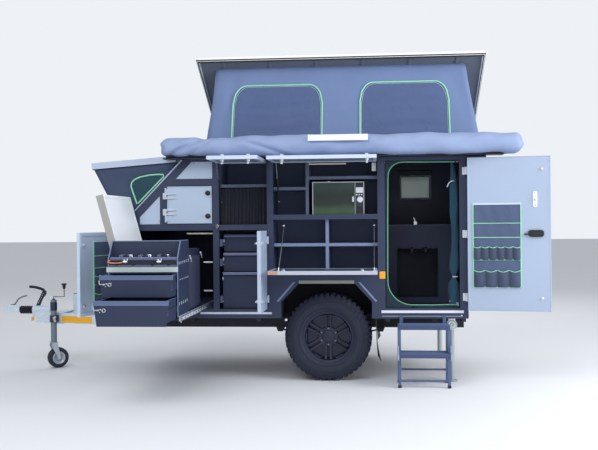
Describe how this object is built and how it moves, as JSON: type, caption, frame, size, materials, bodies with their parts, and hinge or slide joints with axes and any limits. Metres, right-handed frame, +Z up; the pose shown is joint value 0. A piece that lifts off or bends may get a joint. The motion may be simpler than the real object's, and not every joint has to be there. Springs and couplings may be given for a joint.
{
  "type": "off-road caravan",
  "caption": "Compact off-road caravan with a side-lifting roof, fold-up nose, slide-out kitchen and open side hatches.",
  "frame": {"origin": "centre of the tow ball in the coupling's socket, 0.568 m above the ground", "axes": "+X from the coupling to the rear of the caravan, +Y to the off side away from the entry door, +Z up"},
  "size_m": [5.3749, 3.1917, 3.0288],
  "materials": {
    "galvanised_steel": "hot-dip galvanised, dull spangle",
    "black_steel": "black powder coat",
    "zinc_plate": "bright zinc plate",
    "stainless": "bright drawn",
    "slate_paint": "dark slate powder coat, satin",
    "silver_panel": "pale silver composite panel",
    "white_roof": "white gelcoat",
    "plywood": "dark faced plywood",
    "canvas": "grey proofed canvas",
    "awning_cloth": "grey vinyl-coated polyester",
    "rubber": "moulded rubber",
    "tyre": "all-terrain tyre rubber",
    "alloy": "black cast alloy",
    "plastic": "dark moulded plastic",
    "pale_lid": "pale moulded plastic",
    "lamp": "red lamp lens"
  },
  "bodies": {
    "root": {"awning_bag": "awning_cloth", "awning_rail": "stainless", "axle": "black_steel", "bearing_housing": "zinc_plate", "bed_deck": "plywood", "chassis_rails": "galvanised_steel", "coupling": "zinc_plate", "drawbar": "galvanised_steel", "far_locker": "plywood", "far_wall": "slate_paint", "floor": "plywood", "fridge": "plastic", "front_hatch": "silver_panel", "front_pockets": "canvas", "front_wall": "slate_paint", "gaiter": "rubber", "galley": "plywood", "handbrake": "zinc_plate", "hinge_lugs": "zinc_plate", "jockey_clamp": "galvanised_steel", "leaf_springs": "black_steel", "microwave": "plastic", "mudflaps": "rubber", "near_panels": "silver_panel", "near_wall": "slate_paint", "nose_tent": "canvas", "outriggers": "galvanised_steel", "rear_wall": "slate_paint", "roof_frame": "slate_paint", "roof_tent": "canvas", "slide_cabinet": "slate_paint", "slide_rails": "stainless", "step": "slate_paint", "stove": "stainless", "tail_lamps": "lamp", "wheel_boxes": "slate_paint"},
    "near_wheel": {"near_tyre": "tyre", "near_rim": "alloy"},
    "far_wheel": {"far_tyre": "tyre", "far_rim": "alloy"},
    "jockey_stem": {"jockey_stem": "galvanised_steel"},
    "jockey_fork": {"jockey_fork": "galvanised_steel"},
    "jockey_wheel": {"jockey_wheel": "rubber"},
    "roof": {"roof_panel": "white_roof"},
    "nose_flap": {"nose_flap": "silver_panel"},
    "cupboard_upper_hatch": {"cupboard_upper_hatch": "silver_panel"},
    "kitchen_upper_hatch": {"kitchen_upper_hatch": "silver_panel"},
    "table_hatch": {"table_hatch": "silver_panel"},
    "cupboard_lower_hatch": {"cupboard_lower_hatch": "silver_panel"},
    "locker_hatch": {"locker_hatch": "silver_panel"},
    "entry_door": {"entry_door": "silver_panel", "door_pockets": "canvas"},
    "fridge_lid": {"fridge_lid": "pale_lid"},
    "upper_drawer": {"upper_drawer": "slate_paint"},
    "lower_drawer": {"lower_drawer": "slate_paint"},
    "cupboard_drawer_top": {"cupboard_drawer_top": "slate_paint"},
    "cupboard_drawer_middle": {"cupboard_drawer_middle": "slate_paint"},
    "cupboard_drawer_bottom": {"cupboard_drawer_bottom": "slate_paint"},
    "near_steady": {"near_steady": "galvanised_steel"},
    "far_steady": {"far_steady": "galvanised_steel"}
  },
  "joints": [
    {"name": "near_wheel_spin", "type": "hinge", "parent": "root", "child": "near_wheel", "pos_m": [3.354, -0.7275, -0.166], "axis": [0, 1, 0], "continuous": true},
    {"name": "far_wheel_spin", "type": "hinge", "parent": "root", "child": "far_wheel", "pos_m": [3.354, 0.7275, -0.166], "axis": [0, 1, 0], "continuous": true},
    {"name": "jockey_lift", "type": "slide", "parent": "root", "child": "jockey_stem", "axis": [0, 0, 1], "range_m": [0, 0.17]},
    {"name": "jockey_swivel", "type": "hinge", "parent": "jockey_stem", "child": "jockey_fork", "pos_m": [0.528, -0.215, -0.31], "axis": [0, 0, 1], "continuous": true},
    {"name": "jockey_wheel_spin", "type": "hinge", "parent": "jockey_fork", "child": "jockey_wheel", "pos_m": [0.56077, -0.19206, -0.4655], "axis": [-0.5736, 0.8192, 0], "continuous": true},
    {"name": "roof_tilt", "type": "hinge", "parent": "root", "child": "roof", "pos_m": [2.112, 0.91, 1.532], "axis": [1, 0, 0], "range_deg": [0, 29.5], "deforming": ["roof_tent"]},
    {"name": "nose_flap_fold", "type": "hinge", "parent": "root", "child": "nose_flap", "pos_m": [1.96831, 0.9, 1.52212], "axis": [0, -1, 0], "range_deg": [0, 41.7], "deforming": ["nose_tent"]},
    {"name": "cupboard_upper_hinge", "type": "hinge", "parent": "root", "child": "cupboard_upper_hatch", "pos_m": [2.359, -0.908, 1.47], "axis": [1, 0, 0], "range_deg": [0, 90]},
    {"name": "kitchen_upper_hinge", "type": "hinge", "parent": "root", "child": "kitchen_upper_hatch", "pos_m": [2.862, -0.908, 1.47], "axis": [1, 0, 0], "range_deg": [0, 90]},
    {"name": "table_hinge", "type": "hinge", "parent": "root", "child": "table_hatch", "pos_m": [2.862, -0.908, 0.432], "axis": [-1, 0, 0], "range_deg": [0, 90]},
    {"name": "cupboard_lower_hinge", "type": "hinge", "parent": "root", "child": "cupboard_lower_hatch", "pos_m": [2.813, -0.908, 0.822], "axis": [0, 0, -1], "range_deg": [0, 90]},
    {"name": "locker_hinge", "type": "hinge", "parent": "root", "child": "locker_hatch", "pos_m": [1.862, -0.908, 0.879], "axis": [0, 0, 1], "range_deg": [-120, 0]},
    {"name": "entry_door_hinge", "type": "hinge", "parent": "root", "child": "entry_door", "pos_m": [4.6, -0.949, 0.094], "axis": [0, 0, -1], "range_deg": [0, 172]},
    {"name": "fridge_lid_hinge", "type": "hinge", "parent": "root", "child": "fridge_lid", "pos_m": [1.672, -1.512, 0.662], "axis": [0, 1, 0], "range_deg": [0, 105]},
    {"name": "upper_drawer_slide", "type": "slide", "parent": "root", "child": "upper_drawer", "axis": [0, 1, 0], "range_m": [-0.155, 0.19]},
    {"name": "lower_drawer_slide", "type": "slide", "parent": "root", "child": "lower_drawer", "axis": [0, 1, 0], "range_m": [0, 0.345]},
    {"name": "cupboard_top_slide", "type": "slide", "parent": "root", "child": "cupboard_drawer_top", "axis": [0, 1, 0], "range_m": [-0.36, 0]},
    {"name": "cupboard_middle_slide", "type": "slide", "parent": "root", "child": "cupboard_drawer_middle", "axis": [0, 1, 0], "range_m": [-0.36, 0]},
    {"name": "cupboard_bottom_slide", "type": "slide", "parent": "root", "child": "cupboard_drawer_bottom", "axis": [0, 1, 0], "range_m": [-0.36, 0]},
    {"name": "near_steady_fold", "type": "hinge", "parent": "root", "child": "near_steady", "pos_m": [4.478, -0.8, -0.05], "axis": [0, 1, 0], "range_deg": [0, 90]},
    {"name": "far_steady_fold", "type": "hinge", "parent": "root", "child": "far_steady", "pos_m": [4.478, 0.8, -0.05], "axis": [0, 1, 0], "range_deg": [0, 90]}
  ]
}
